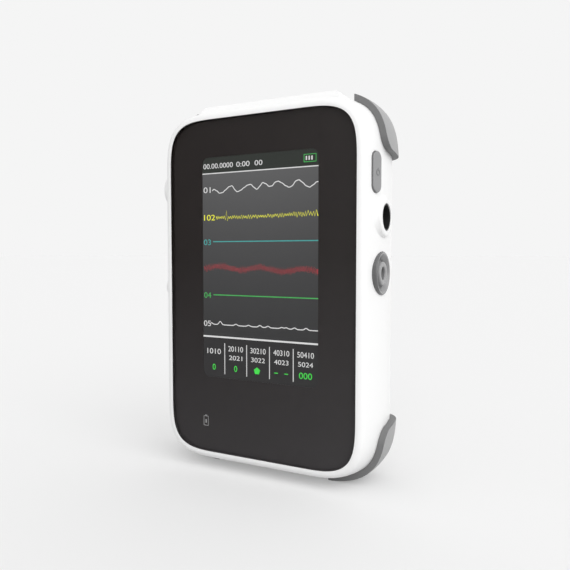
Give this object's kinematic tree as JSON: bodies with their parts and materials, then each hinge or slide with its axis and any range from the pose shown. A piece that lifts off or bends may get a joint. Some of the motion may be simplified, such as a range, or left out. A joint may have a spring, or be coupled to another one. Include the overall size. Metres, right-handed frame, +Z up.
{
  "type": "sleep apnea diagnostic device",
  "caption": "Hand-sized sleep recorder: barrel-shaped white case, dark front panel with a screen, swept grey corner guards, round sensor sockets, an airflow port and a power button.",
  "frame": {"origin": "centre of the bounding box's bottom face, in the plane of the lower guards' soles", "axes": "+Z up along the device's height, -Y out of the front panel, +Y out of the rear face, +X to the side with the power button"},
  "size_m": [0.0867, 0.026, 0.1319],
  "materials": {
    "shell_white": "fine satin, moulded",
    "lens_clear": "clear, polished",
    "mask_black": "printed black",
    "tape_black": "adhesive foam",
    "display_dark": "smooth, dark glass",
    "backlight_white": "white frame",
    "ribbon_amber": "amber film",
    "guard_grey": "soft grey, satin",
    "button_grey": "satin",
    "switch_black": "moulded",
    "plunger_ivory": "moulded",
    "port_grey": "satin",
    "gasket_grey": "soft seal",
    "nut_plated": "nickel plated",
    "tube_clear": "translucent silicone",
    "sensor_grey": "moulded",
    "socket_black": "moulded",
    "pin_gold": "gold plated",
    "socket_steel": "plain steel",
    "board_green": "solder mask",
    "chip_black": "moulded",
    "can_steel": "tinned",
    "battery_foil": "foil pouch",
    "pad_cream": "adhesive foam",
    "screw_steel": "plain steel",
    "insert_brass": "knurled brass"
  },
  "bodies": {
    "case": {"front_shell": "shell_white", "rear_cover": "shell_white", "case_gasket": "gasket_grey", "cover_lens": "lens_clear", "lens_mask": "mask_black", "lens_tape": "tape_black", "display_panel": "display_dark", "display_backlight": "backlight_white", "display_ribbon": "ribbon_amber", "guard_top_left": "guard_grey", "guard_top_right": "guard_grey", "guard_bottom_left": "guard_grey", "guard_bottom_right": "guard_grey", "power_switch": "switch_black", "airflow_port": "port_grey", "port_seal": "gasket_grey", "port_nut": "nut_plated", "airflow_tube": "tube_clear", "pressure_sensor": "sensor_grey", "right_socket": "socket_black", "right_socket_pins": "pin_gold", "left_socket": "socket_black", "left_socket_pins": "pin_gold", "belt_jack": "socket_black", "charging_socket": "socket_steel", "main_board": "board_green", "processor": "chip_black", "memory_chip": "chip_black", "wireless_module": "can_steel", "position_sensor": "chip_black", "microphone": "can_steel", "battery": "battery_foil", "battery_pad": "pad_cream", "case_screws": "screw_steel", "case_inserts": "insert_brass", "board_screws": "screw_steel"},
    "button": {"power_button": "button_grey", "switch_plunger": "plunger_ivory"}
  },
  "joints": [
    {"name": "power_button_press", "type": "slide", "parent": "case", "child": "button", "axis": [-1, 0, 0], "range_m": [0, 0.0005], "stiffness_N_per_m": 800}
  ]
}
